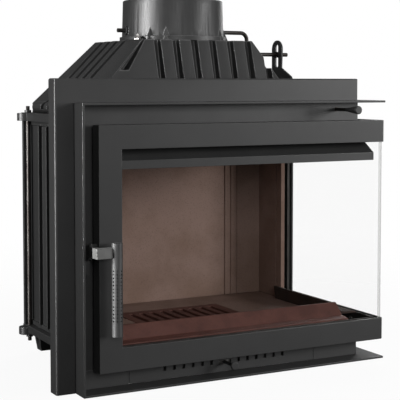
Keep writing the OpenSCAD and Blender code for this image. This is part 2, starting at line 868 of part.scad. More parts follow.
// Cast door frame that turns the corner, with steps for the glass and its retainers
module door_frame() {
    color(black) difference() {
        door_ring(0, door_bar, 0, 0, door_chamfer);
        door_ring(-cut - door_chamfer, door_bar + cut, stile_w, rail_w);
        door_ring(lip_t, door_bar + cut, stile_w - lip, rail_w - lip);
        door_ring(gasket_back, door_bar + cut, stile_w - lip - ledge_d, rail_w - lip - ledge_d);
    }
}

// Two panes of ceramic glass that meet at the corner
module front_glass() {
    color(glass_tone) span([glass_left, glass_y0, glass_z0], [glass_x1, glass_y0 + glass_t, glass_z1]);
}

module side_glass() {
    color(glass_tone) span([glass_x1 - glass_t, glass_y0 + glass_t + glass_corner_gap, glass_z0],
        [glass_x1, glass_back, glass_z1]);
}

// A frame of four strips behind a pane, laid flat: w wide, from depth d0 to d1 behind the door's skin
module pane_strips(edge, w, d0, d1) {
    x0 = glass_left - edge;
    y1 = glass_back + edge;
    z0 = glass_z0 - edge;
    z1 = glass_z1 + edge;
    front = -door_proud;
    right = door_right;
    span([x0, front + d0, z0], [x0 + w, front + d1, z1]);
    span([right - d1, y1 - w, z0], [right - d0, y1, z1]);
    for (z = [z0, z1 - w]) translate([0, 0, z]) linear_extrude(w)
        corner_band(right, front, d0, d1, x0 + w, y1 - w);
}

// Flat ceramic tape behind the edges of both panes
module glass_gaskets() {
    color(rope_tone) pane_strips(0, gasket_w, lip_t + glass_t, gasket_back);
}

// Places a child at each retainer screw, its Z axis pointing into the firebox from the strip's rear face
module at_screws() {
    out = ledge_d / 2 - 1;
    front = [-90, 0, 0];
    side = [0, -90, 0];
    for (z = [glass_z0 - out, glass_z1 + out]) {
        for (x = [glass_left + 20 : screw_pitch_x : glass_x1 - 30])
            translate([x, keep_back - door_proud, z]) rotate(front) children();
        for (y = [50 : screw_pitch_y : glass_back - 20])
            translate([door_right - keep_back, y, z]) rotate(side) children();
    }
    for (z = [glass_z0 + 60 : screw_pitch_z : glass_z1 - 30]) {
        translate([glass_left - out, keep_back - door_proud, z]) rotate(front) children();
        translate([door_right - keep_back, glass_back + out, z]) rotate(side) children();
    }
}

// Steel strips that hold the panes in the frame
module glass_retainers() {
    color(steel_tone) difference() {
        pane_strips(ledge_d - 1, keep_w, gasket_back, keep_back);
        at_screws() translate([0, 0, -keep_t - cut]) cylinder(h = keep_t + 2 * cut, r = screw_r + 0.2);
    }
}

// Pan-head screws of the retainers
module retainer_screws() {
    color(steel_tone) at_screws() {
        translate([0, 0, -keep_t]) cylinder(h = keep_t, r = screw_r);
        cylinder(h = 2, r = screw_r + 1.6);
    }
}

// Rope seal between the door and the casing's front frame
module door_seal() {
    y = -door_proud + door_bar + seal_r;
    x = door_right - door_bar - seal_r;
    edge = 9;
    left = door_left + edge;
    back = door_back - edge;
    low = door_z + edge - 1;
    high = door_top - edge + 1;
    color(rope_tone) {
        bar([left, y, low], high - low, seal_r, 2);
        bar([x, back, low], high - low, seal_r, 2);
        for (z = [low, high]) {
            bar([left, y, z], x - left, seal_r, 0);
            bar([x, y, z], back - y, seal_r, 1);
            for (spot = [[left, y], [x, y], [x, back]]) translate([spot[0], spot[1], z]) sphere(seal_r);
        }
    }
}

// Leaves on the door's rear edge, hung above the casing's eyes
module hinge_leaves() {
    color(cast) for (z = hinge_zs) {
        z0 = z + hinge_eye_h + seat;
        difference() {
            union() {
                bar([hinge_x, hinge_y, z0], hinge_eye_h, hinge_r, 2);
                span([hinge_x - 5, door_back, z0], [hinge_x + 3, hinge_y, z0 + hinge_eye_h]);
            }
            bar([hinge_x, hinge_y, z0 - cut], hinge_eye_h + 2 * cut, hinge_pin_d / 2 + fit, 2);
        }
    }
}

// Lugs on the door's left edge that carry the handle's pin
module handle_lugs() {
    color(black) for (z = [neck_z0 - seat - lug_t, neck_z1 + seat]) difference() {
        union() {
            bar([pivot_x, pivot_y, z], lug_t, lug_r, 2);
            span([pivot_x, pivot_y - lug_r, z], [door_left, pivot_y + lug_r, z + lug_t]);
        }
        bar([pivot_x, pivot_y, z - cut], lug_t + 2 * cut, pivot_r, 2);
    }
}

// Pin pressed through both lugs
module handle_pivot_pin() {
    proud = 0.5;
    low = neck_z0 - seat - lug_t - proud;
    high = neck_z1 + seat + lug_t + proud;
    color(steel_tone) bar([pivot_x, pivot_y, low], high - low, pivot_r, 2);
}

// Neck that turns on the pin, reaches round the door's edge and holds the tube
module handle_neck() {
    cross_y = grip_y - 3;
    color(steel_tone) difference() {
        translate([0, 0, neck_z0]) linear_extrude(neck_h) difference() {
            union() {
                translate([pivot_x, pivot_y]) circle(arm_w / 2);
                translate([pivot_x - arm_w / 2, cross_y]) square([arm_w, pivot_y - cross_y]);
                translate([pivot_x - arm_w / 2, cross_y]) square([grip_x - pivot_x + arm_w / 2, cross_d]);
                translate([tail_x, pivot_y]) square([tail_w, tail_l]);
            }
            translate([grip_x, grip_y]) circle(grip_r);
        }
        bar([pivot_x, pivot_y, neck_z0 - cut], neck_h + 2 * cut, pivot_r + fit, 2);
    }
}

// Perforated grip tube, with holes on four diameters in each row
module handle_tube() {
    rows = 15;
    pitch = 6.2;
    first = grip_z0 + 27;
    color(steel_tone) difference() {
        bar([grip_x, grip_y, grip_z0], grip_l, grip_r, 2);
        bar([grip_x, grip_y, grip_z0 - cut], grip_l + 2 * cut, grip_r - grip_wall, 2);
        for (k = [0 : rows - 1], a = [22.5 : 45 : 180])
            translate([grip_x, grip_y, first + k * pitch]) rotate(a) rotate([0, 90, 0])
                cylinder(h = grip_d + 2 * cut, d = grip_hole_d, center = true, $fn = 16);
    }
}

// Plugs that close the tube's ends
module handle_caps() {
    cap_h = 6;
    color(cast) for (z = [grip_z0, grip_z0 + grip_l - cap_h])
        bar([grip_x, grip_y, z], cap_h, grip_r - grip_wall, 2);
}

// Hook plate under the neck, bevelled to slide off the keeper
module latch_hook() {
    nose_x = pivot_x - 8.5;
    rear = pivot_y + tail_l;
    color(steel_tone) translate([0, 0, hook_z0]) linear_extrude(neck_z0 - hook_z0)
        polygon([[tail_x, rear - 9], [tail_x + tail_w, rear - 9], [tail_x + tail_w, rear],
            [nose_x, rear], [nose_x, rear - 2], [tail_x, rear - 8.5]]);
}

// Rod that the user pulls to set the damper
module damper_pull_rod() {
    color(steel_tone) bar([pull_x, pull_front, pull_z], pull_back - pull_front, pull_r, 1);
}

// Turned knob that widens from a neck to its head, pointing to the front from a point
module knob(at, neck_r, l) {
    r = knob_d / 2;
    head = 3.5;
    bevel = 1.5;
    translate(at) rotate([90, 0, 0]) rotate_extrude()
        polygon([[0, 0], [neck_r, 0], [r, l - head], [r, l - bevel], [r - bevel, l], [0, l]]);
}

module damper_knob() {
    color(black) knob([pull_x, pull_front, pull_z], pull_r, pull_knob_l);
}

// Slotted plate on the pull rod that drives the crank pin
module damper_link() {
    slot_r = rod_r + link_slot_play;
    slot_low = shaft_z - crank_r - 21;
    slot_high = shaft_z - crank_r * cos(crank_swing) + 3;
    head_z = slot_high + slot_r + 8.3 - link_w / 2;
    foot_z = hood_z0 + 1;
    y0 = flue_y - link_w / 2;
    y1 = flue_y + link_w / 2;
    bend_z = slot_low - 6;
    color(black) difference() {
        union() {
            bar([link_x0, flue_y, head_z], link_t, link_w / 2, 0);
            slab_yz([[y0, head_z], [y0 + 2, bend_z], [link_back - 4, bend_z - 18],
                [link_back - 34, pull_z + 20], [link_back - 34, foot_z], [link_back, foot_z],
                [link_back, pull_z + 20], [y1 - 22, bend_z - 26], [y1, bend_z - 4], [y1, head_z]],
                link_x0, link_x0 + link_t);
            span([link_x0 + link_t, link_back - 30, foot_z],
                [pull_x + pull_r + 2, link_back, pull_z + pull_r + 2]);
        }
        bar([link_x0 - cut, flue_y, slot_low], link_t + 2 * cut, slot_r, 0);
        bar([link_x0 - cut, flue_y, slot_high], link_t + 2 * cut, slot_r, 0);
        span([link_x0 - cut, flue_y - slot_r, slot_low],
            [link_x0 + link_t + cut, flue_y + slot_r, slot_high]);
        bar([pull_x, link_back - 31, pull_z], pull_back - link_back + 31, pull_r, 1);
    }
}

// Shaft through the spigot, cranked down to the pin that the link drives between two washers
module damper_shaft() {
    pin_x = crank_x + crank_bend;
    near = link_x0 - seat - pin_x;
    far = near + link_t + 2 * seat;
    color(steel_tone) {
        bar([shaft_left, flue_y, shaft_z], crank_x - crank_bend - shaft_left, rod_r, 0);
        bar([crank_x, flue_y, shaft_z - crank_r + crank_bend], crank_r - 2 * crank_bend, rod_r, 2);
        translate([pin_x, flue_y, shaft_z - crank_r]) rotate([0, 90, 0]) rotate_extrude()
            polygon([[0, 0], [rod_r, 0], [rod_r, near - washer_t], [washer_r, near - washer_t],
                [washer_r, near], [rod_r, near], [rod_r, far], [washer_r, far],
                [washer_r, far + washer_t], [rod_r, far + washer_t], [rod_r, pin_end - pin_x],
                [0, pin_end - pin_x]]);
        translate([crank_x - crank_bend, flue_y, shaft_z - crank_bend]) rotate([90, 0, 0])
            rotate_extrude(angle = 90) translate([crank_bend, 0]) circle(rod_r);
        translate([pin_x, flue_y, shaft_z - crank_r + crank_bend]) rotate([90, 0, 0])
            rotate(180) rotate_extrude(angle = 90) translate([crank_bend, 0]) circle(rod_r);
    }
}

// Turns what lies flat on the shaft to the plate's angle at rest, half open
module damper_tilt() {
    translate([0, flue_y, shaft_z]) rotate([45, 0, 0]) children();
}

// Butterfly plate with cut-off edges
module damper_plate() {
    color(cast) damper_tilt() intersection() {
        translate([flue_x, 0, -rod_r - damper_t]) cylinder(h = damper_t, r = damper_d / 2);
        span([flue_x - damper_d, -plate_half, -damper_d], [flue_x + damper_d, plate_half, damper_d]);
    }
}

// Saddles that clamp the plate to the shaft
module damper_clips() {
    half = 7;
    t = 2.5;
    wing = 12;
    color(steel_tone) damper_tilt() for (x = [flue_x - 45, flue_x + 45]) difference() {
        union() {
            span([x - half, -rod_r - t, -rod_r], [x + half, rod_r + t, rod_r + t]);
            span([x - half, -rod_r - wing, -rod_r], [x + half, rod_r + wing, -rod_r + t]);
        }
        bar([x - half - cut, 0, 0], 2 * (half + cut), rod_r, 0);
        span([x - half - cut, -rod_r, -rod_r - cut], [x + half + cut, rod_r, 0]);
    }
}

// The row of air slots, used in the drawer front and in the slide, with room left for the knob's stem
module air_slots(y0, y1) {
    for (k = [0 : slot_n - 1]) {
        off = (k - (slot_n - 1) / 2) * slot_pitch;
        x = drawer_x + off;
        if (abs(off) > slot_pitch) span([x - slot_w / 2, y0, slot_z - slot_h / 2],
            [x + slot_w / 2, y1, slot_z + slot_h / 2]);
    }
}

// Front of the ash drawer with the slots and the runner of the air slide
module drawer_front() {
    gap = 0.6;
    half = drawer_w / 2 - gap;
    rail = pan_w / 2 - 4;
    stem_w = slide_travel + stem_r + 1;
    stem_h = stem_r + gap;
    color(black) difference() {
        union() {
            span([drawer_x - half, 0, drawer_z0], [drawer_x + half, panel_t, drawer_z1]);
            span([drawer_x - rail, panel_t, drawer_z0 + 3], [drawer_x + rail, pan_y0, slide_z0]);
        }
        air_slots(-cut, panel_t + cut);
        span([drawer_x - stem_w, -cut, knob_z - stem_h], [drawer_x + stem_w, panel_t + cut, knob_z + stem_h]);
    }
}

// Folded ash pan behind the drawer front
module ash_pan() {
    x0 = drawer_x - pan_w / 2;
    x1 = drawer_x + pan_w / 2;
    z0 = collar_t + box_t + seat;
    color(black) difference() {
        span([x0, pan_y0, z0], [x1, pan_y0 + pan_d, drawer_z1 - 3]);
        span([x0 + pan_t, pan_y0 + pan_t, z0 + pan_t], [x1 - pan_t, pan_y0 + pan_d - pan_t, drawer_z1]);
    }
}

// Slotted slide behind the drawer front
module air_slider() {
    half = slot_n * slot_pitch / 2 + 4;
    y0 = panel_t + seat;
    color(steel_tone) difference() {
        span([drawer_x - half, y0, slide_z0 + seat], [drawer_x + half, y0 + slide_t, drawer_z1]);
        air_slots(panel_t, y0 + slide_t + cut);
    }
}

module air_knob() {
    color(black) {
        bar([drawer_x, -stem_l, knob_z], stem_l + panel_t + seat, stem_r, 1);
        knob([drawer_x, -stem_l, knob_z], stem_r, air_knob_l);
    }
}

surround_flange();
surround_collar();
front_frame();
lower_panel_left();
lower_panel_right();
base_plate();
rear_feet();
left_wall();
rear_wall();
right_post();
top_plate();
tie_rods();
tie_rod_nuts();
smoke_hood();
flue_spigot();
spigot_bolts();
floor_lining();
rear_lining();
left_lining();
post_lining();
lower_baffle();
upper_baffle();
baffle_ledges();
air_deflector();
front_fender();
side_fender();
grate();
ash_box();
latch_keeper();
hinge_brackets();
hinge_pins();
rod_guides();
door_frame();
front_glass();
side_glass();
glass_gaskets();
glass_retainers();
retainer_screws();
door_seal();
hinge_leaves();
handle_lugs();
handle_pivot_pin();
handle_neck();
handle_tube();
handle_caps();
latch_hook();
damper_pull_rod();
damper_knob();
damper_link();
damper_shaft();
damper_plate();
damper_clips();
drawer_front();
ash_pan();
air_slider();
air_knob();
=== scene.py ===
"""Dresses the cast iron fireplace insert: its finishes, rounded edges, small fittings, studio and camera."""

import json
import logging
import math
from dataclasses import dataclass, field
from enum import Enum

import bmesh
import bpy
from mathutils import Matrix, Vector


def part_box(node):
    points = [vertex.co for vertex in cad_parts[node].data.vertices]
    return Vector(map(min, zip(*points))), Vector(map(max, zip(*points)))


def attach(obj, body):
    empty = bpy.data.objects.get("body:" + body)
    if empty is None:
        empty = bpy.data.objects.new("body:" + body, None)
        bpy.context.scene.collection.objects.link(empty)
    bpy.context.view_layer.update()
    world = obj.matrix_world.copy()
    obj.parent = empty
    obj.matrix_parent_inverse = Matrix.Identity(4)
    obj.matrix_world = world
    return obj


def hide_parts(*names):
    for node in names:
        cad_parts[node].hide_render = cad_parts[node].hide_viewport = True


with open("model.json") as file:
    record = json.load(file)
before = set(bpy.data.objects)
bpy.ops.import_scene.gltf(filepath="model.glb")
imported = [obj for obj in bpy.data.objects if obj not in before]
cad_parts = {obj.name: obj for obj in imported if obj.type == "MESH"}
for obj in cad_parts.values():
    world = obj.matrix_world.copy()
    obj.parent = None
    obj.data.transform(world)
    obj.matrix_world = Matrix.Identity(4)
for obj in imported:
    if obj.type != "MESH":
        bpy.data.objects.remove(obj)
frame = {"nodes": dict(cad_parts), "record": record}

LOG = logging.getLogger("fireplace_insert")
MM = 0.001
# Corners of a CAD mesh that lie closer than this are the same corner.
MERGE_MM = 0.004
# Faces that turn less than this, in degrees, are one flat face.
FLAT_DEG = 0.5
# Edges that turn more than this, in degrees, are sharp.
SHARP_DEG = 30.0
# A rounding takes up at most this share of the shortest edge beside it.
ROOM_SHARE = 0.45
# A face whose normal reaches this along an axis looks that way.
FACING = 0.99
Colour = tuple[float, float, float, float]


def linear(hex_colour: str) -> Colour:
    """Turns an sRGB hex colour into the linear colour that a shader takes.

    Args:
        hex_colour: The colour as it is seen, such as "#454545".

    Returns:
        The linear red, green and blue, and 1 for a solid colour.
    """
    parts = [int(hex_colour[i:i + 2], 16) / 255 for i in (1, 3, 5)]
    turned = [p / 12.92 if p <= 0.04045 else ((p + 0.055) / 1.055) ** 2.4 for p in parts]
    return turned[0], turned[1], turned[2], 1.0


def add(tree: bpy.types.NodeTree, kind: str, settings: dict, links: dict) -> bpy.types.Node:
    """Adds one shader node with its settings, values and links.

    Args:
        tree: The node tree that gets it.
        kind: Blender's name for the node type, without the word ShaderNode.
        settings: Properties of the node by name.
        links: Input sockets by name or number, each with a value or with the output that feeds it.

    Returns:
        The new node.
    """
    node = tree.nodes.new("ShaderNode" + kind)
    for name, value in settings.items():
        setattr(node, name, value)
    for socket, value in links.items():
        if isinstance(value, bpy.types.NodeSocket):
            tree.links.new(value, node.inputs[socket])
        else:
            node.inputs[socket].default_value = value
    return node


def blank_material(name: str) -> tuple[bpy.types.Material, bpy.types.NodeTree, bpy.types.Node,
                                       bpy.types.NodeSocket]:
    """Makes an empty material with its shader.

    Args:
        name: The material's name.

    Returns:
        The material, its tree, its Principled shader and the Object coordinates.
    """
    material = bpy.data.materials.new(name)
    material.use_nodes = True
    tree = material.node_tree
    tree.nodes.clear()
    shader = add(tree, "BsdfPrincipled", {}, {})
    add(tree, "OutputMaterial", {}, {"Surface": shader.outputs[0]})
    place = add(tree, "TexCoord", {}, {}).outputs["Object"]
    return material, tree, shader, place


@dataclass(frozen=True)
class Finish:
    """A surface with soft patches of tone and roughness and a fine grain that stands up from it."""

    name: str
    colour: str
    patch_colour: str
    roughness: float
    roughness_spread: float
    patch_mm: float
    grain_mm: float
    grain_height_mm: float
    metallic: float = 0.0
    specular: float = 0.5
    stretch: tuple[float, float, float] = (1.0, 1.0, 1.0)

    def make(self) -> bpy.types.Material:
        """Returns the finish as a material."""
        material, tree, shader, place = blank_material(self.name)
        shader.inputs["Metallic"].default_value = self.metallic
        shader.inputs["Specular IOR Level"].default_value = self.specular
        turned = add(tree, "Mapping", {}, {"Vector": place, "Scale": self.stretch}).outputs[0]
        patches = add(tree, "TexNoise", {}, {
            "Vector": place, "Scale": 1 / (self.patch_mm * MM),
            "Detail": 3.0, "Roughness": 0.55}).outputs["Fac"]
        grain = add(tree, "TexNoise", {}, {
            "Vector": turned, "Scale": 1 / (self.grain_mm * MM),
            "Detail": 2.0, "Roughness": 0.6}).outputs["Fac"]
        spread = add(tree, "MapRange", {"interpolation_type": "SMOOTHSTEP"}, {
            "Value": patches, "From Min": 0.35, "From Max": 0.68}).outputs[0]
        tone = add(tree, "Mix", {"data_type": "RGBA"}, {
            0: spread, 6: linear(self.colour), 7: linear(self.patch_colour)}).outputs[2]
        self.dress(tree, shader, place, tone)
        rough = add(tree, "MapRange", {}, {
            "Value": grain, "From Min": 0.3, "From Max": 0.7,
            "To Min": self.roughness - self.roughness_spread,
            "To Max": self.roughness + self.roughness_spread}).outputs[0]
        tree.links.new(rough, shader.inputs["Roughness"])
        bump = add(tree, "Bump", {}, {
            "Height": grain, "Strength": 1.0, "Distance": self.grain_height_mm * MM}).outputs[0]
        tree.links.new(bump, shader.inputs["Normal"])
        return material

    def dress(self, tree: bpy.types.NodeTree, shader: bpy.types.Node, place: bpy.types.NodeSocket,
              tone: bpy.types.NodeSocket) -> None:
        """Links the tone to the shader; a special finish adds its own marks here.

        Args:
            tree: The material's node tree.
            shader: Its Principled shader.
            place: The Object coordinates; not used here.
            tone: The colour with its soft patches.
        """
        tree.links.new(tone, shader.inputs["Base Color"])


@dataclass(frozen=True)
class Speckled(Finish):
    """A finish with sparse darker or paler specks, such as mineral grains or cast pits."""

    speck_colour: str = "#2b2826"
    speck_mm: float = 3.0
    speck_share: float = 0.35

    def dress(self, tree: bpy.types.NodeTree, shader: bpy.types.Node, place: bpy.types.NodeSocket,
              tone: bpy.types.NodeSocket) -> None:
        """Adds the specks to the tone.

        Args:
            tree: The material's node tree.
            shader: Its Principled shader.
            place: The Object coordinates.
            tone: The colour with its soft patches.
        """
        cells = add(tree, "TexVoronoi", {}, {
            "Vector": place, "Scale": 1 / (self.speck_mm * MM)}).outputs["Distance"]
        specks = add(tree, "MapRange", {}, {
            "Value": cells, "From Min": 0.12, "From Max": 0.3,
            "To Min": self.speck_share, "To Max": 0.0}).outputs[0]
        mixed = add(tree, "Mix", {"data_type": "RGBA"}, {
            0: specks, 6: tone, 7: linear(self.speck_colour)}).outputs[2]
        tree.links.new(mixed, shader.inputs["Base Color"])


@dataclass(frozen=True)
class CeramicGlass:
    """Clear glass-ceramic: its faces show what is behind them, and its ground edges are pale and dull."""

    name: str
    colour: str
    alpha: float
    roughness: float
    ior: float = 1.54
    haze_mm: float = 60.0

    def make(self) -> bpy.types.Material:
        """Returns the glass as a material."""
        material, tree, shader, place = blank_material(self.name)
        shader.inputs["Base Color"].default_value = linear(self.colour)
        shader.inputs["Alpha"].default_value = self.alpha
        shader.inputs["IOR"].default_value = self.ior
        haze = add(tree, "TexNoise", {}, {
            "Vector": place, "Scale": 1 / (self.haze_mm * MM), "Detail": 2.0}).outputs["Fac"]
        rough = add(tree, "MapRange", {}, {
            "Value": haze, "To Min": self.roughness * 0.8, "To Max": self.roughness * 1.2}).outputs[0]
        tree.links.new(rough, shader.inputs["Roughness"])
        return material


@dataclass(frozen=True)
class GlassFibreRope:
    """Braided glass fibre: slanting plaits that show as soft ridges along the rope."""

    name: str
    colour: str
    hollow_colour: str
    plait_mm: float
    ridge_mm: float = 0.4
    roughness: float = 0.9
    sheen: float = 0.15

    def make(self) -> bpy.types.Material:
        """Returns the rope as a material."""
        material, tree, shader, place = blank_material(self.name)
        shader.inputs["Roughness"].default_value = self.roughness
        shader.inputs["Sheen Weight"].default_value = self.sheen
        plaits = [add(tree, "TexWave", {"bands_direction": "DIAGONAL"}, {
            "Vector": add(tree, "Mapping", {}, {"Vector": place, "Scale": scale}).outputs[0],
            "Scale": 1 / (self.plait_mm * MM) / math.pi, "Distortion": 0.4}).outputs["Fac"]
            for scale in ((1, 1, 1), (-1, 1, 1))]
        weave = add(tree, "Math", {"operation": "MAXIMUM"}, {0: plaits[0], 1: plaits[1]}).outputs[0]
        tone = add(tree, "Mix", {"data_type": "RGBA"}, {
            0: weave, 6: linear(self.hollow_colour), 7: linear(self.colour)}).outputs[2]
        tree.links.new(tone, shader.inputs["Base Color"])
        bump = add(tree, "Bump", {}, {
            "Height": weave, "Strength": 0.8, "Distance": self.ridge_mm * MM}).outputs[0]
        tree.links.new(bump, shader.inputs["Normal"])
        return material


class Look(Enum):
    """The finishes that the insert has; some carry painted highlight, painted shade and painted fire glow,
    as their comments say.
    """

    # Silicone paint sprayed on sheet steel and baked: flat anthracite with a barely visible orange peel.
    SHEET_PAINT = Finish(
        "heat_resistant_paint_on_sheet_steel", "#3a3a3a", "#363636",
        roughness=0.46, roughness_spread=0.05, patch_mm=120, grain_mm=1.6, grain_height_mm=0.02,
        specular=0.34)
    # The same paint on folded and cut edges: burnished smoother and glossier, so that it catches the light,
    # and a shade paler as a painted highlight.
    SHEET_EDGE = Finish(
        "burnished_sheet_edge_paint_with_painted_highlight", "#404040", "#3a3a3a",
        roughness=0.32, roughness_spread=0.05, patch_mm=40, grain_mm=1.6, grain_height_mm=0.01,
        specular=0.6)
    # Paint over sand-cast iron: the sand's grain, 0.3 mm, is drawn at 2 mm so that it shows.
    CAST_PAINT = Speckled(
        "heat_resistant_paint_on_sand_cast_iron", "#3a3a3a", "#343434",
        roughness=0.44, roughness_spread=0.06, patch_mm=70, grain_mm=2.0, grain_height_mm=0.08,
        specular=0.4, speck_colour="#353535", speck_mm=4.5, speck_share=0.3)
    # That paint on the castings' rounded edges: a little glossier, and much greyer as a painted highlight,
    # so that the edges read as fine pale lines.
    CAST_EDGE = Finish(
        "cast_edge_paint_with_painted_highlight", "#626262", "#565656",
        roughness=0.40, roughness_spread=0.08, patch_mm=30, grain_mm=2.0, grain_height_mm=0.06,
        specular=0.45)
    # Unpainted walls that the masonry hides, the feet and the right post: dull cast iron whose near-black
    # tone is painted shade.
    CAST_WASH = Speckled(
        "sand_cast_iron_darkened_as_painted_shade", "#232323", "#1d1d1d",
        roughness=0.68, roughness_spread=0.08, patch_mm=70, grain_mm=2.0, grain_height_mm=0.1,
        specular=0.25, speck_colour="#1f1f1f", speck_mm=4.5, speck_share=0.3)
    # Bare grey iron of the grate and the front fender, browned by heat and tinted red as a painted glow of
    # the fire.
    HEATED_IRON = Speckled(
        "heat_browned_cast_iron_with_painted_fire_glow", "#603b33", "#502f28",
        roughness=0.62, roughness_spread=0.10, patch_mm=45, grain_mm=2.2, grain_height_mm=0.14,
        specular=0.35, speck_colour="#2c2321", speck_mm=5.0, speck_share=0.35)
    # The same iron on the side fender beside the side pane: darker and duller, still tinted red as a painted
    # glow of the fire.
    SOOTED_IRON = Speckled(
        "darker_cast_iron_with_painted_fire_glow", "#37271f", "#281d19",
        roughness=0.76, roughness_spread=0.08, patch_mm=45, grain_mm=2.2, grain_height_mm=0.14,
        specular=0.25, speck_colour="#1c1614", speck_mm=5.0, speck_share=0.35)
    # Pressed refractory plates: warm grey-brown, dull, with mineral grains drawn at 3 mm and sooty clouds.
    REFRACTORY = Speckled(
        "pressed_refractory_plate", "#8d766c", "#80695d",
        roughness=0.88, roughness_spread=0.06, patch_mm=90, grain_mm=2.4, grain_height_mm=0.2,
        specular=0.25, speck_colour="#3a302b", speck_mm=3.2, speck_share=0.5)
    # Stainless steel brushed along the handle: brush lines of 0.1 mm are drawn at 0.6 mm.
    HANDLE_STEEL = Finish(
        "brushed_stainless_steel", "#545454", "#4b4b4b",
        roughness=0.58, roughness_spread=0.05, patch_mm=60, grain_mm=0.6, grain_height_mm=0.012,
        metallic=1.0, stretch=(1.0, 1.0, 0.04))
    # Stainless steel of the handle's neck, blasted matt: paler and duller than the tube.
    NECK_STEEL = Finish(
        "blasted_stainless_steel", "#7a7a79", "#6e6e6d",
        roughness=0.60, roughness_spread=0.06, patch_mm=40, grain_mm=0.8, grain_height_mm=0.015,
        metallic=1.0)
    # Plain machined steel of pins, bolts and screws: grey metal dulled by oil and heat.
    PLAIN_STEEL = Finish(
        "plain_machined_steel", "#8a8886", "#6d6a68",
        roughness=0.40, roughness_spread=0.08, patch_mm=25, grain_mm=1.0, grain_height_mm=0.02,
        metallic=1.0)
    # Blackened steel of rods, retainers and the damper gear: a dark oxide film with a dull metal gleam.
    BLACKENED_STEEL = Finish(
        "oxide_blackened_steel", "#454341", "#35312f",
        roughness=0.45, roughness_spread=0.08, patch_mm=30, grain_mm=1.2, grain_height_mm=0.03,
        metallic=0.85)
    # Clear glass-ceramic, 4 mm thick: nearly invisible from the front, with a faint reflection.
    GLASS = CeramicGlass("clear_glass_ceramic", "#3a3c3a", alpha=0.015, roughness=0.03)
    # Its ground and arrissed edges scatter light, so they read as pale grey lines.
    GLASS_EDGE = CeramicGlass("ground_glass_ceramic_edge", "#e2e5e2", alpha=0.5, roughness=0.35)
    # Braided glass-fibre sealing rope: soft grey ridges, plaits of about 3 mm.
    ROPE = GlassFibreRope("braided_glass_fibre_rope", "#5c5a55", "#302f2c", plait_mm=3.0)
    # Flat woven ceramic tape under the retainers: charcoal grey, with a fine weave.
    TAPE = GlassFibreRope("woven_ceramic_tape", "#3a3936", "#24231f", plait_mm=1.6)


class Palette:
    """Makes each finish once, when a piece first asks for it."""

    def __init__(self) -> None:
        """Starts with no material made."""
        self.made: dict[Look, bpy.types.Material] = {}

    def get(self, look: Look) -> bpy.types.Material:
        """Returns the material of a finish.

        Args:
            look: The finish.

        Returns:
            Its material.
        """
        if look not in self.made:
            self.made[look] = look.value.make()
        return self.made[look]


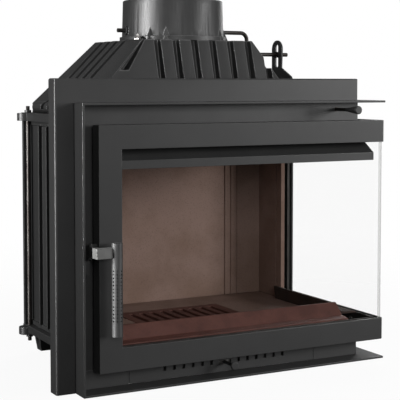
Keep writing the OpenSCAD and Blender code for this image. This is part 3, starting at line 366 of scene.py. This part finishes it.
class Workshop:
    """Rounds, dresses and registers pieces for every sub-assembly."""

    def __init__(self, palette: Palette) -> None:
        """Keeps the palette and the record's bodies and slots.

        Args:
            palette: The finishes.
        """
        self.palette = palette
        record = frame["record"]
        self.body_of = {n: b for b, members in record["behaviour"]["bodies"].items() for n in members}
        self.slot_of = {s["node"]: s["material_slot"] for s in record["subparts"]}

    @staticmethod
    def only(piece: bpy.types.Object) -> None:
        """Selects one object and nothing else.

        Args:
            piece: The object.
        """
        bpy.ops.object.select_all(action="DESELECT")
        piece.select_set(True)
        bpy.context.view_layer.objects.active = piece

    def dress(self, node: str, look: Look) -> None:
        """Gives a CAD node that stays its finish.

        Args:
            node: The node's name.
            look: Its finish.
        """
        mesh = frame["nodes"][node].data
        mesh.materials.clear()
        mesh.materials.append(self.palette.get(look))
        LOG.info("%s dressed as %s", node, look.value.name)

    def register(self, piece: bpy.types.Object, node: str) -> None:
        """Lets a piece stand for a CAD node: it joins the same body, and the node is hidden.

        Args:
            piece: The new piece.
            node: The node that it replaces.
        """
        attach(piece, self.body_of[node])
        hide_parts(node)
        LOG.info("%s replaces %s on %s, %d faces", piece.name, node, self.body_of[node],
                 len(piece.data.polygons))

    def copy_of(self, node: str) -> bpy.types.Object:
        """Copies a CAD node's mesh as clean faces, merged and with flat regions joined.

        Args:
            node: The node's name.

        Returns:
            The copy, at the origin.
        """
        piece = bpy.data.objects.new(node + "_finished", frame["nodes"][node].data.copy())
        bpy.context.scene.collection.objects.link(piece)
        piece.data.materials.clear()
        self.only(piece)
        bpy.ops.object.mode_set(mode="EDIT")
        bpy.ops.mesh.select_all(action="SELECT")
        bpy.ops.mesh.remove_doubles(threshold=MERGE_MM * MM)
        bpy.ops.mesh.dissolve_limited(angle_limit=math.radians(FLAT_DEG))
        bpy.ops.object.mode_set(mode="OBJECT")
        return piece

    def soften(self, piece: bpy.types.Object, edge_mm: float, segments: int = 2) -> None:
        """Rounds a piece's sharp edges and smooths the rest.

        Args:
            piece: The piece.
            edge_mm: The radius of the rounding.
            segments: How many faces go round an edge.
        """
        self.only(piece)
        bpy.ops.object.shade_smooth_by_angle(angle=math.radians(SHARP_DEG))
        self.weigh_edges(piece, edge_mm)
        bevel = piece.modifiers.new("rounded_edges", "BEVEL")
        bevel.width = edge_mm * MM
        bevel.segments = segments
        bevel.limit_method = "WEIGHT"
        bevel.use_clamp_overlap = False
        bevel.harden_normals = True
        # The rounded faces take the second finish, whose paler tone is a painted edge highlight.
        bevel.material = 1
        bpy.ops.object.modifier_apply(modifier=bevel.name)

    @staticmethod
    def weigh_edges(piece: bpy.types.Object, edge_mm: float) -> None:
        """Weighs each sharp edge, so that its rounding stays within the shortest edge at its ends.

        Args:
            piece: The piece.
            edge_mm: The radius of the rounding.
        """
        shape = bmesh.new()
        shape.from_mesh(piece.data)
        shortest = {v: min(edge.calc_length() for edge in v.link_edges) for v in shape.verts}
        weights = [0.0] * len(shape.edges)
        for i, edge in enumerate(shape.edges):
            if edge.is_manifold and edge.calc_face_angle() > math.radians(SHARP_DEG):
                room = min(shortest[v] for v in edge.verts)
                weights[i] = min(1.0, ROOM_SHARE * room / (edge_mm * MM))
        shape.free()
        layer = piece.data.attributes.new("bevel_weight_edge", "FLOAT", "EDGE")
        layer.data.foreach_set("value", weights)

    def rounded(self, node: str, edge_mm: float, look: Look, edge_look: Look | None = None) -> None:
        """Replaces a CAD node by a copy with rounded edges.

        Args:
            node: The node's name.
            edge_mm: The radius of its edges.
            look: The finish of its faces.
            edge_look: The finish of its rounded edges, if another.
        """
        piece = self.copy_of(node)
        for finish in (look, edge_look or look):
            piece.data.materials.append(self.palette.get(finish))
        self.soften(piece, edge_mm)
        self.register(piece, node)

    def join(self, pieces: list[bpy.types.Object], name: str, look: Look) -> bpy.types.Object:
        """Joins primitives into one piece at the origin, with its finish.

        Args:
            pieces: The primitives, each with its place.
            name: The name of the whole.
            look: Its finish.

        Returns:
            The joined piece.
        """
        bpy.ops.object.select_all(action="DESELECT")
        for piece in pieces:
            piece.select_set(True)
        bpy.context.view_layer.objects.active = pieces[0]
        bpy.ops.object.join()
        whole = bpy.context.view_layer.objects.active
        whole.name = name
        bpy.ops.object.transform_apply(location=True, rotation=True, scale=True)
        whole.data.materials.clear()
        whole.data.materials.append(self.palette.get(look))
        bpy.ops.object.shade_smooth_by_angle(angle=math.radians(SHARP_DEG))
        return whole

    def islands(self, node: str) -> list[tuple[Vector, Vector]]:
        """Finds the separate solids of a CAD node.

        Args:
            node: The node's name.

        Returns:
            The lowest and highest corner of each.
        """
        shape = bmesh.new()
        shape.from_mesh(frame["nodes"][node].data)
        bmesh.ops.remove_doubles(shape, verts=shape.verts, dist=MERGE_MM * MM)
        left = set(shape.verts)
        found = []
        while left:
            group, queue = [], [left.pop()]
            while queue:
                vertex = queue.pop()
                group.append(vertex.co.copy())
                for edge in vertex.link_edges:
                    other = edge.other_vert(vertex)
                    if other in left:
                        left.remove(other)
                        queue.append(other)
            found.append((Vector([min(p[i] for p in group) for i in range(3)]),
                          Vector([max(p[i] for p in group) for i in range(3)])))
        shape.free()
        return sorted(found, key=lambda pair: tuple(pair[0]))


# In the classes below, a size in millimetres is the radius of that piece's edges,
# unless its comment says more.
@dataclass
class Surround:
    """The folded sheet round the fireplace opening, the collar round the door and the panels under it."""

    shop: Workshop
    fold_mm: float = 0.7
    plate_mm: float = 0.8
    panel_mm: float = 0.5
    frame_mm: float = 1.2

    def build(self) -> None:
        """Rounds and paints the sheets."""
        self.shop.rounded("surround_flange", self.fold_mm, Look.SHEET_PAINT, Look.SHEET_EDGE)
        self.shop.rounded("surround_collar", self.plate_mm, Look.SHEET_PAINT, Look.SHEET_EDGE)
        self.shop.rounded("front_frame", self.frame_mm, Look.CAST_PAINT, Look.CAST_EDGE)
        self.shop.rounded("lower_panel_left", self.panel_mm, Look.SHEET_PAINT, Look.SHEET_EDGE)
        self.shop.rounded("lower_panel_right", self.panel_mm, Look.SHEET_PAINT, Look.SHEET_EDGE)


@dataclass
class Casing:
    """The cast plates of the firebox with the rods that clamp them together."""

    shop: Workshop
    cast_mm: float = 1.5
    step_mm: float = 0.45
    nut_mm: float = 0.4
    box_mm: float = 0.5
    keeper_mm: float = 0.4
    bracket_mm: float = 0.8
    # The tie rods: faces round a rod, and the depth, length and pitch of their threads.
    rod_faces: int = 32
    thread_mm: float = 0.5
    thread_length_mm: float = 20.0
    pitch_mm: float = 1.25

    def build(self) -> None:
        """Rounds and paints the castings, and threads the rods."""
        self.shop.rounded("base_plate", self.cast_mm, Look.CAST_PAINT, Look.CAST_EDGE)
        self.shop.rounded("top_plate", self.step_mm, Look.CAST_PAINT, Look.CAST_EDGE)
        # These castings get the near-black finish that is painted shade.
        for node in ("left_wall", "rear_wall", "rear_feet", "right_post"):
            self.shop.rounded(node, self.cast_mm, Look.CAST_WASH)
        self.thread_rods()
        self.shop.rounded("tie_rod_nuts", self.nut_mm, Look.SHEET_PAINT, Look.SHEET_EDGE)
        self.shop.rounded("ash_box", self.box_mm, Look.SHEET_PAINT, Look.SHEET_EDGE)
        self.shop.rounded("latch_keeper", self.keeper_mm, Look.SHEET_PAINT, Look.SHEET_EDGE)
        self.shop.rounded("hinge_brackets", self.bracket_mm, Look.CAST_PAINT, Look.CAST_EDGE)
        self.shop.dress("hinge_pins", Look.PLAIN_STEEL)

    def thread_rods(self) -> None:
        """Turns each tie rod with a thread at both ends, and lets them replace the plain ones."""
        bpy.ops.object.select_all(action="DESELECT")
        made = []
        for low, high in self.shop.islands("tie_rods"):
            middle = (low + high) / 2
            radius = (high.x - low.x) / 2
            bpy.ops.mesh.primitive_cylinder_add(vertices=self.rod_faces, radius=radius - self.thread_mm * MM,
                                                depth=high.z - low.z, location=middle)
            made.append(bpy.context.object)
            plain = high.z - low.z - 2 * self.thread_length_mm * MM
            bpy.ops.mesh.primitive_cylinder_add(vertices=self.rod_faces, radius=radius, depth=plain,
                                                location=middle)
            made.append(bpy.context.object)
            for end, way in ((low.z, 1), (high.z, -1)):
                made += self.thread(Vector((middle.x, middle.y, end)), way, radius)
        rods = self.shop.join(made, "threaded_tie_rods", Look.BLACKENED_STEEL)
        self.shop.register(rods, "tie_rods")

    def thread(self, end: Vector, way: int, radius: float) -> list[bpy.types.Object]:
        """Builds the crests of a thread, from a rod's end inwards.

        Args:
            end: The middle of the rod's end face.
            way: 1 if the rod goes up from there, -1 if it goes down.
            radius: The rod's outer radius, in metres.

        Returns:
            The crests, each a pair of cones foot to foot.
        """
        crests = []
        for turn in range(int(self.thread_length_mm / self.pitch_mm)):
            for half in (0.25, 0.75):
                at = end.z + way * (turn + half) * self.pitch_mm * MM
                wide, slim = radius, radius - self.thread_mm * MM
                low_wide = (half == 0.75) == (way > 0)
                bpy.ops.mesh.primitive_cone_add(vertices=self.rod_faces, radius1=wide if low_wide else slim,
                                                radius2=slim if low_wide else wide,
                                                depth=self.pitch_mm * MM / 2, location=(end.x, end.y, at))
                crests.append(bpy.context.object)
        return crests


@dataclass
class SmokeHood:
    """The ribbed hood over the firebox with the flue spigot on it."""

    shop: Workshop
    cast_mm: float = 1.6
    spigot_mm: float = 0.5

    def build(self) -> None:
        """Rounds and paints the hood and the spigot, and dresses the bolts."""
        self.shop.rounded("smoke_hood", self.cast_mm, Look.CAST_PAINT, Look.CAST_EDGE)
        self.shop.rounded("flue_spigot", self.spigot_mm, Look.CAST_PAINT, Look.CAST_EDGE)
        self.shop.dress("spigot_bolts", Look.PLAIN_STEEL)


@dataclass
class Firebox:
    """The refractory linings, baffles, fenders and grate."""

    shop: Workshop
    plate_mm: float = 1.8
    groove_mm: float = 1.0
    web_mm: float = 0.3
    iron_mm: float = 1.4
    bar_mm: float = 0.6
    ledge_mm: float = 0.8
    sheet_mm: float = 0.5

    def build(self) -> None:
        """Rounds and dresses the linings, baffles, fenders, grate and deflector."""
        for node in ("floor_lining", "left_lining", "lower_baffle", "upper_baffle"):
            self.shop.rounded(node, self.plate_mm, Look.REFRACTORY)
        self.shop.rounded("rear_lining", self.groove_mm, Look.REFRACTORY)
        self.shop.rounded("post_lining", self.web_mm, Look.REFRACTORY)
        # The fenders and the grate get iron tinted red as a painted glow of the fire.
        self.shop.rounded("front_fender", self.iron_mm, Look.HEATED_IRON)
        self.shop.rounded("side_fender", self.iron_mm, Look.SOOTED_IRON)
        self.shop.rounded("grate", self.bar_mm, Look.HEATED_IRON)
        self.shop.rounded("baffle_ledges", self.ledge_mm, Look.CAST_PAINT, Look.CAST_EDGE)
        self.shop.rounded("air_deflector", self.sheet_mm, Look.SHEET_PAINT, Look.SHEET_EDGE)


@dataclass
class GlassDoor:
    """The L-shaped door: its folded frame, two panes that meet at the corner, and their fittings."""

    shop: Workshop
    frame_mm: float = 0.9
    arris_mm: float = 0.4
    retainer_mm: float = 0.3
    leaf_mm: float = 0.8
    lug_mm: float = 0.5
    screw_mm: float = 0.25
    # The screws: the head's outer rim, the flat up to the socket, the socket's taper and its depth.
    head_rim_mm: float = 0.5
    socket_rim_mm: float = 1.6
    socket_taper_mm: float = 0.05
    socket_mm: float = 1.2
    # A face is a head where it is at least this share of the largest.
    head_share: float = 0.97

    def build(self) -> None:
        """Builds the door's frame, panes, seals and hinges."""
        self.shop.rounded("door_frame", self.frame_mm, Look.SHEET_PAINT, Look.SHEET_EDGE)
        for node in ("front_glass", "side_glass"):
            self.pane(node)
        self.shop.dress("glass_gaskets", Look.TAPE)
        self.shop.rounded("glass_retainers", self.retainer_mm, Look.BLACKENED_STEEL)
        self.socket_screws()
        self.shop.dress("door_seal", Look.ROPE)
        self.shop.rounded("hinge_leaves", self.leaf_mm, Look.CAST_PAINT, Look.CAST_EDGE)
        self.shop.rounded("handle_lugs", self.lug_mm, Look.SHEET_PAINT, Look.SHEET_EDGE)

    def socket_screws(self) -> None:
        """Sinks a socket into the head of each retainer screw, inside a narrow rim."""
        piece = self.shop.copy_of("retainer_screws")
        piece.data.materials.append(self.shop.palette.get(Look.PLAIN_STEEL))
        self.shop.only(piece)
        bpy.ops.object.mode_set(mode="EDIT")
        bpy.ops.mesh.select_all(action="DESELECT")
        bpy.ops.object.mode_set(mode="OBJECT")
        widest = max(face.area for face in piece.data.polygons)
        for face in piece.data.polygons:
            inward = face.normal.y > FACING or face.normal.x < -FACING
            face.select = inward and face.area > self.head_share * widest
        LOG.info("%d screw heads get a socket", sum(face.select for face in piece.data.polygons))
        bpy.ops.object.mode_set(mode="EDIT")
        bpy.ops.mesh.inset(thickness=self.head_rim_mm * MM, depth=0.0, use_individual=True)
        bpy.ops.mesh.inset(thickness=self.socket_rim_mm * MM, depth=0.0, use_individual=True)
        bpy.ops.mesh.inset(thickness=self.socket_taper_mm * MM, depth=-self.socket_mm * MM,
                           use_individual=True)
        bpy.ops.mesh.select_all(action="SELECT")
        bpy.ops.mesh.normals_make_consistent(inside=False)
        bpy.ops.object.mode_set(mode="OBJECT")
        self.shop.soften(piece, self.screw_mm, 1)
        self.shop.register(piece, "retainer_screws")

    def pane(self, node: str) -> None:
        """Gives a pane its ground, arrissed edges.

        Args:
            node: The pane's CAD node.
        """
        piece = self.shop.copy_of(node)
        for finish in (Look.GLASS, Look.GLASS_EDGE):
            piece.data.materials.append(self.shop.palette.get(finish))
        low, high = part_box(node)
        thin = min(range(3), key=lambda axis: high[axis] - low[axis])
        self.shop.soften(piece, self.arris_mm, 1)
        for face in piece.data.polygons:
            face.material_index = 0 if abs(face.normal[thin]) > FACING else 1
        self.shop.register(piece, node)


@dataclass
class DoorHandle:
    """The perforated steel tube on its neck, which turns the latch."""

    shop: Workshop
    neck_mm: float = 0.6
    cap_mm: float = 0.5
    hook_mm: float = 0.4

    def build(self) -> None:
        """Dresses the handle's steel."""
        self.shop.dress("handle_pivot_pin", Look.PLAIN_STEEL)
        self.shop.rounded("handle_neck", self.neck_mm, Look.NECK_STEEL)
        self.shop.dress("handle_tube", Look.HANDLE_STEEL)
        self.shop.rounded("handle_caps", self.cap_mm, Look.HANDLE_STEEL)
        self.shop.rounded("latch_hook", self.hook_mm, Look.HANDLE_STEEL)


@dataclass
class FlueDamper:
    """The pull rod, the slotted link, and the shaft with its plate in the flue."""

    shop: Workshop
    knob_mm: float = 0.8
    link_mm: float = 0.6
    plate_mm: float = 0.8
    clip_mm: float = 0.4

    def build(self) -> None:
        """Dresses the damper gear."""
        self.shop.dress("rod_guides", Look.BLACKENED_STEEL)
        self.shop.dress("damper_pull_rod", Look.BLACKENED_STEEL)
        self.shop.rounded("damper_knob", self.knob_mm, Look.SHEET_PAINT, Look.SHEET_EDGE)
        self.shop.rounded("damper_link", self.link_mm, Look.SHEET_PAINT, Look.SHEET_EDGE)
        self.shop.dress("damper_shaft", Look.BLACKENED_STEEL)
        self.shop.rounded("damper_plate", self.plate_mm, Look.CAST_PAINT, Look.CAST_EDGE)
        self.shop.rounded("damper_clips", self.clip_mm, Look.PLAIN_STEEL)


@dataclass
class AshDrawer:
    """The ash drawer with its slotted front and the air slide behind it."""

    shop: Workshop
    sheet_mm: float = 0.5
    knob_mm: float = 0.6

    def build(self) -> None:
        """Rounds and dresses the drawer."""
        self.shop.rounded("drawer_front", self.sheet_mm, Look.SHEET_PAINT, Look.SHEET_EDGE)
        self.shop.rounded("ash_pan", self.sheet_mm, Look.SHEET_PAINT, Look.SHEET_EDGE)
        self.shop.dress("air_slider", Look.PLAIN_STEEL)
        self.shop.rounded("air_knob", self.knob_mm, Look.SHEET_PAINT, Look.SHEET_EDGE)


@dataclass
class Lamp:
    """One soft area lamp of the studio; it can be kept out of matt light or out of reflections."""

    name: str
    place: tuple[float, float, float]
    aim: tuple[float, float, float]
    width: float
    height: float
    watts: float
    lights_matt: bool = True
    lights_gloss: bool = True

    def build(self) -> None:
        """Hangs the lamp."""
        light = bpy.data.lights.new(self.name, "AREA")
        light.shape = "RECTANGLE"
        light.size, light.size_y = self.width, self.height
        light.energy = self.watts
        lamp = bpy.data.objects.new(self.name, light)
        bpy.context.scene.collection.objects.link(lamp)
        lamp.location = self.place
        lamp.rotation_euler = (Vector(self.aim) - Vector(self.place)).to_track_quat("-Z", "Y").to_euler()
        lamp.visible_diffuse = self.lights_matt
        lamp.visible_glossy = self.lights_gloss


@dataclass
class Studio:
    """The pale floor, the white backdrop, the lamps and the camera; lengths in metres, angles in degrees."""

    camera_place: tuple[float, float, float] = (-1.0321, -1.8626, 0.5398)
    camera_down: float = 3.416
    camera_turn: float = -28.163
    lens: float = 104.948
    shift_y: float = -0.12
    sensor_mm: float = 36.0
    near: float = 0.05
    floor_radius: float = 3.0
    floor_faces: int = 96
    floor_drop_mm: float = 0.5
    floor_colour: str = "#fafafa"
    floor_bounce_colour: str = "#5a5a5a"
    floor_roughness: float = 0.9
    floor_specular: float = 0.1
    fade_from: float = 0.7
    fade_to: float = 2.2
    white_share: float = 0.94
    fill_colour: str = "#e8eaec"
    fill_strength: float = 0.05
    gloss_share: float = 0.1
    lamps: list[Lamp] = field(default_factory=lambda: [
        Lamp("key_softbox", (3.4, -2.9, 1.1), (0.0, 0.0, 0.5), 1.8, 1.4, 120.0),
        Lamp("overhead_softbox", (0.2, -0.45, 2.3), (0.0, 0.1, 0.4), 1.4, 1.4, 8.0),
        Lamp("left_strip", (-1.9, 0.15, 0.75), (0.0, 0.1, 0.6), 0.14, 1.5, 130.0,
             lights_matt=False),
        Lamp("left_rear_softbox", (-1.4, 1.7, 0.8), (-0.1, 0.2, 0.3), 1.0, 1.2, 6.0,
             lights_gloss=False),
        Lamp("rear_softbox", (2.0, 2.6, 1.5), (0.0, 0.2, 0.4), 1.2, 1.2, 60.0,
             lights_gloss=False),
        Lamp("front_softbox", (-0.8, -2.4, 0.95), (0.1, 0.1, 0.4), 0.7, 0.9, 17.0),
        Lamp("right_strip", (1.7, 1.3, 0.9), (0.1, 0.1, 0.5), 0.3, 1.5, 9.0,
             lights_matt=False),
    ])

    def build(self) -> None:
        """Sets up the camera, the floor, the world and the lamps."""
        self.stand_camera()
        self.lay_floor()
        self.paint_world()
        for lamp in self.lamps:
            lamp.build()
        bpy.context.scene.view_settings.view_transform = "Standard"

    def stand_camera(self) -> None:
        """Stands the camera where the photograph was taken from."""
        camera = bpy.data.objects.new("camera", bpy.data.cameras.new("camera"))
        bpy.context.scene.collection.objects.link(camera)
        camera.location = self.camera_place
        camera.rotation_euler = (math.radians(90 - self.camera_down), 0, math.radians(self.camera_turn))
        camera.data.sensor_width = self.sensor_mm
        camera.data.lens = self.lens
        camera.data.shift_y = self.shift_y
        camera.data.clip_start = self.near
        bpy.context.scene.camera = camera

    def lay_floor(self) -> None:
        """Lays a round pale floor that fades into the backdrop and keeps the object's shadow."""
        bpy.ops.object.select_all(action="DESELECT")
        bpy.ops.mesh.primitive_circle_add(vertices=self.floor_faces, radius=self.floor_radius,
                                          fill_type="NGON", location=(0, 0, -self.floor_drop_mm * MM))
        floor = bpy.context.object
        floor.name = "studio_floor"
        material, tree, shader, place = blank_material("matt_pale_studio_floor")
        seen = add(tree, "LightPath", {}, {}).outputs["Is Camera Ray"]
        tone = add(tree, "Mix", {"data_type": "RGBA"}, {
            0: seen, 6: linear(self.floor_bounce_colour), 7: linear(self.floor_colour)}).outputs[2]
        tree.links.new(tone, shader.inputs["Base Color"])
        shader.inputs["Roughness"].default_value = self.floor_roughness
        shader.inputs["Specular IOR Level"].default_value = self.floor_specular
        away = add(tree, "VectorMath", {"operation": "LENGTH"}, {0: place}).outputs["Value"]
        fade = add(tree, "MapRange", {"interpolation_type": "SMOOTHSTEP"}, {
            "Value": away, "From Min": self.fade_from, "From Max": self.fade_to,
            "To Min": 1.0, "To Max": 0.0}).outputs[0]
        tree.links.new(fade, shader.inputs["Alpha"])
        share = add(tree, "Math", {"operation": "MULTIPLY"}, {0: seen, 1: self.white_share}).outputs[0]
        white = add(tree, "Emission", {}, {"Color": (1, 1, 1, 1), "Strength": 1.0}).outputs[0]
        clear = add(tree, "BsdfTransparent", {}, {}).outputs[0]
        faded_white = add(tree, "MixShader", {}, {0: fade, 1: clear, 2: white}).outputs[0]
        mixed = add(tree, "MixShader", {}, {0: share, 1: shader.outputs[0], 2: faded_white}).outputs[0]
        out = next(n for n in tree.nodes if n.type == "OUTPUT_MATERIAL")
        tree.links.new(mixed, out.inputs["Surface"])
        floor.data.materials.append(material)

    def paint_world(self) -> None:
        """Gives soft light from all round, and a white backdrop to the eye, to gloss and to glass."""
        world = bpy.data.worlds.new("studio_backdrop")
        bpy.context.scene.world = world
        world.use_nodes = True
        tree = world.node_tree
        tree.nodes.clear()
        path = add(tree, "LightPath", {}, {})
        gloss = add(tree, "Math", {"operation": "MULTIPLY"}, {
            0: path.outputs["Is Glossy Ray"], 1: self.gloss_share}).outputs[0]
        seen = add(tree, "Math", {"operation": "MAXIMUM"}, {
            0: path.outputs["Is Camera Ray"], 1: path.outputs["Is Transmission Ray"]}).outputs[0]
        shown = add(tree, "Math", {"operation": "MAXIMUM"}, {0: seen, 1: gloss}).outputs[0]
        fill = add(tree, "Background", {}, {
            "Color": linear(self.fill_colour), "Strength": self.fill_strength}).outputs[0]
        white = add(tree, "Background", {}, {"Color": (1, 1, 1, 1), "Strength": 1.0}).outputs[0]
        both = add(tree, "MixShader", {}, {0: shown, 1: fill, 2: white}).outputs[0]
        add(tree, "OutputWorld", {}, {"Surface": both})


def main() -> None:
    """Builds the studio and every sub-assembly in order."""
    logging.basicConfig(level=logging.INFO, format="%(name)s: %(message)s")
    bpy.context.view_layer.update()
    Studio().build()
    shop = Workshop(Palette())
    for part in (Surround(shop), Casing(shop), SmokeHood(shop), Firebox(shop), GlassDoor(shop),
                 DoorHandle(shop), FlueDamper(shop), AshDrawer(shop)):
        part.build()
        LOG.info("%s built", type(part).__name__)


if __name__ == "__main__":
    main()
